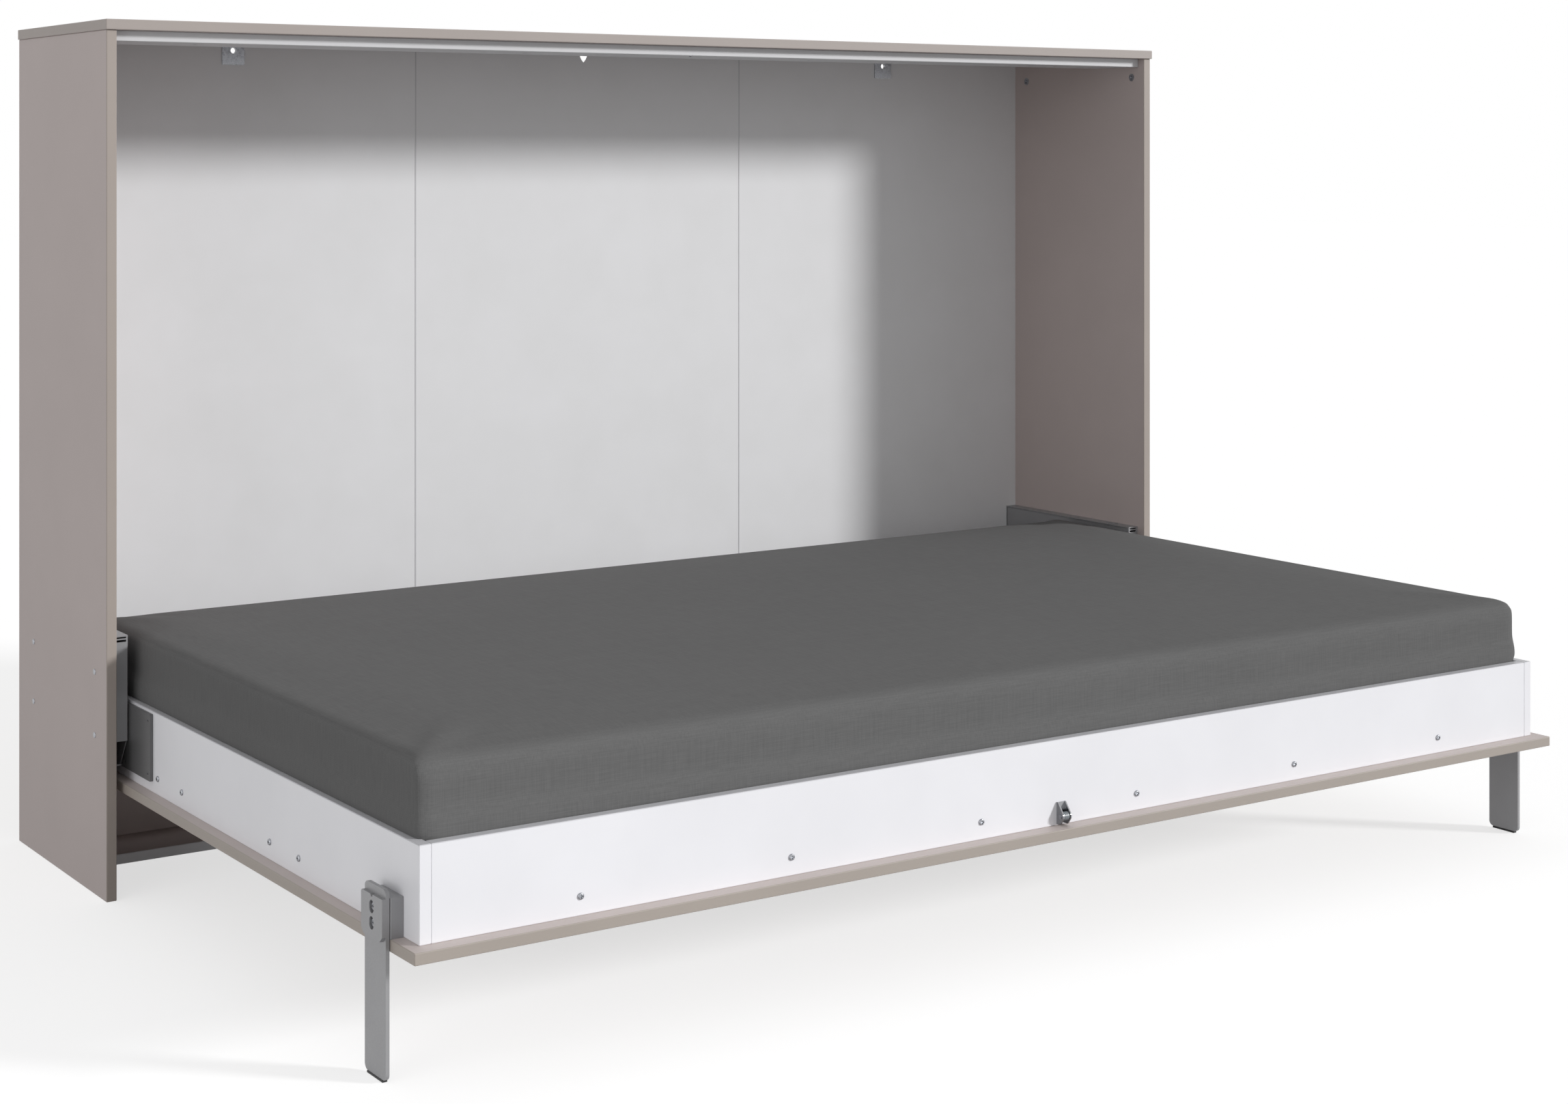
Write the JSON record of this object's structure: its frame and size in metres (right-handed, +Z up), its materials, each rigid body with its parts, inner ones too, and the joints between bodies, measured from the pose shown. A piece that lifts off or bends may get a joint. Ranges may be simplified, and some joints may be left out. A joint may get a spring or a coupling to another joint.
{
  "type": "folding bed",
  "caption": "Low wall bed that folds sideways: a box bed with a mattress and swing-down legs, hinged on spring housings in a shallow cabinet.",
  "frame": {"origin": "on the floor, under the middle of the whole object with the bed folded down", "axes": "+X along the bed's length, +Y from the bed's front towards the wall, +Z up"},
  "size_m": [2.11, 1.398, 1.328],
  "materials": {
    "taupe_board": "matt melamine coating",
    "grey_board": "matt melamine coating",
    "white_board": "matt melamine coating",
    "back_board": "smooth lacquered hardboard",
    "pine": "planed softwood",
    "birch_slat": "sanded plywood",
    "strip_plastic": "satin",
    "grey_steel": "satin powder coat",
    "dark_steel": "satin powder coat",
    "zinc_steel": "zinc plated",
    "spring_steel": "oiled",
    "chrome_steel": "polished",
    "nylon": "smooth",
    "foot_plastic": "matt",
    "mattress_cloth": "finely woven cover"
  },
  "bodies": {
    "cabinet": {"back_joint_strips": "strip_plastic", "back_panel_left": "back_board", "back_panel_middle": "back_board", "back_panel_right": "back_board", "bottom_board": "taupe_board", "cabinet_fittings": "zinc_steel", "catch_sleeve": "zinc_steel", "catch_spring": "spring_steel", "housing_bolts": "zinc_steel", "left_housing": "grey_steel", "left_housing_cover": "grey_steel", "left_side_panel": "taupe_board", "left_springs": "spring_steel", "pivot_bushes": "nylon", "plinth_board": "taupe_board", "rear_bottom_rail": "taupe_board", "rear_top_rail": "taupe_board", "right_housing": "grey_steel", "right_housing_cover": "grey_steel", "right_side_panel": "taupe_board", "right_springs": "spring_steel", "spring_tubes": "zinc_steel", "top_panel": "taupe_board", "top_rail": "grey_board", "wall_brackets": "zinc_steel"},
    "bed": {"front_panel": "taupe_board", "front_board": "white_board", "rear_board": "white_board", "left_side_board": "white_board", "right_side_board": "white_board", "slats": "birch_slat", "front_batten": "pine", "rear_batten": "pine", "left_batten": "pine", "right_batten": "pine", "centre_beam": "pine", "left_pivot_plate": "dark_steel", "right_pivot_plate": "dark_steel", "pivot_shafts": "zinc_steel", "levers": "zinc_steel", "box_screws": "zinc_steel", "plate_screws": "zinc_steel", "left_leg_bracket": "grey_steel", "right_leg_bracket": "grey_steel", "pivot_pins": "zinc_steel", "roller_bracket": "chrome_steel", "mattress": "mattress_cloth"},
    "left_leg": {"left_leg_bar": "grey_steel", "left_leg_head_plate": "grey_steel", "left_leg_screws": "zinc_steel", "left_foot_pad": "foot_plastic"},
    "right_leg": {"right_leg_bar": "grey_steel", "right_leg_head_plate": "grey_steel", "right_leg_screws": "zinc_steel", "right_foot_pad": "foot_plastic"},
    "left_drawbar": {"left_drawbar": "zinc_steel"},
    "right_drawbar": {"right_drawbar": "zinc_steel"},
    "roller": {"roller": "nylon"},
    "catch_plunger": {"catch_plunger": "chrome_steel"}
  },
  "joints": [
    {"name": "bed_fold", "type": "hinge", "parent": "cabinet", "child": "bed", "pos_m": [0, 0.3645, 0.2405], "axis": [-1, 0, 0], "range_deg": [0, 90]},
    {"name": "left_leg_fold", "type": "hinge", "parent": "bed", "child": "left_leg", "pos_m": [-1.0285, -0.6035, 0.199], "axis": [1, 0, 0], "range_deg": [0, 90]},
    {"name": "left_drawbar_slide", "type": "slide", "parent": "cabinet", "child": "left_drawbar", "axis": [0, 1, 0], "range_m": [0, 0.064], "deforming": ["left_springs"]},
    {"name": "right_leg_fold", "type": "hinge", "parent": "bed", "child": "right_leg", "pos_m": [1.0285, -0.6035, 0.199], "axis": [1, 0, 0], "range_deg": [0, 90]},
    {"name": "right_drawbar_slide", "type": "slide", "parent": "cabinet", "child": "right_drawbar", "axis": [0, 1, 0], "range_m": [0, 0.064], "deforming": ["right_springs"]},
    {"name": "roller_spin", "type": "hinge", "parent": "bed", "child": "roller", "pos_m": [0, -0.6835, 0.188], "axis": [1, 0, 0], "continuous": true},
    {"name": "catch_press", "type": "slide", "parent": "cabinet", "child": "catch_plunger", "axis": [0, 0, 1], "range_m": [0, 0.003], "stiffness_N_per_m": 600, "deforming": ["catch_spring"]}
  ],
  "couplings": [
    {"joint": "left_drawbar_slide", "follows": "bed_fold", "m_per_rad": 0.04074},
    {"joint": "right_drawbar_slide", "follows": "bed_fold", "m_per_rad": 0.04074}
  ]
}
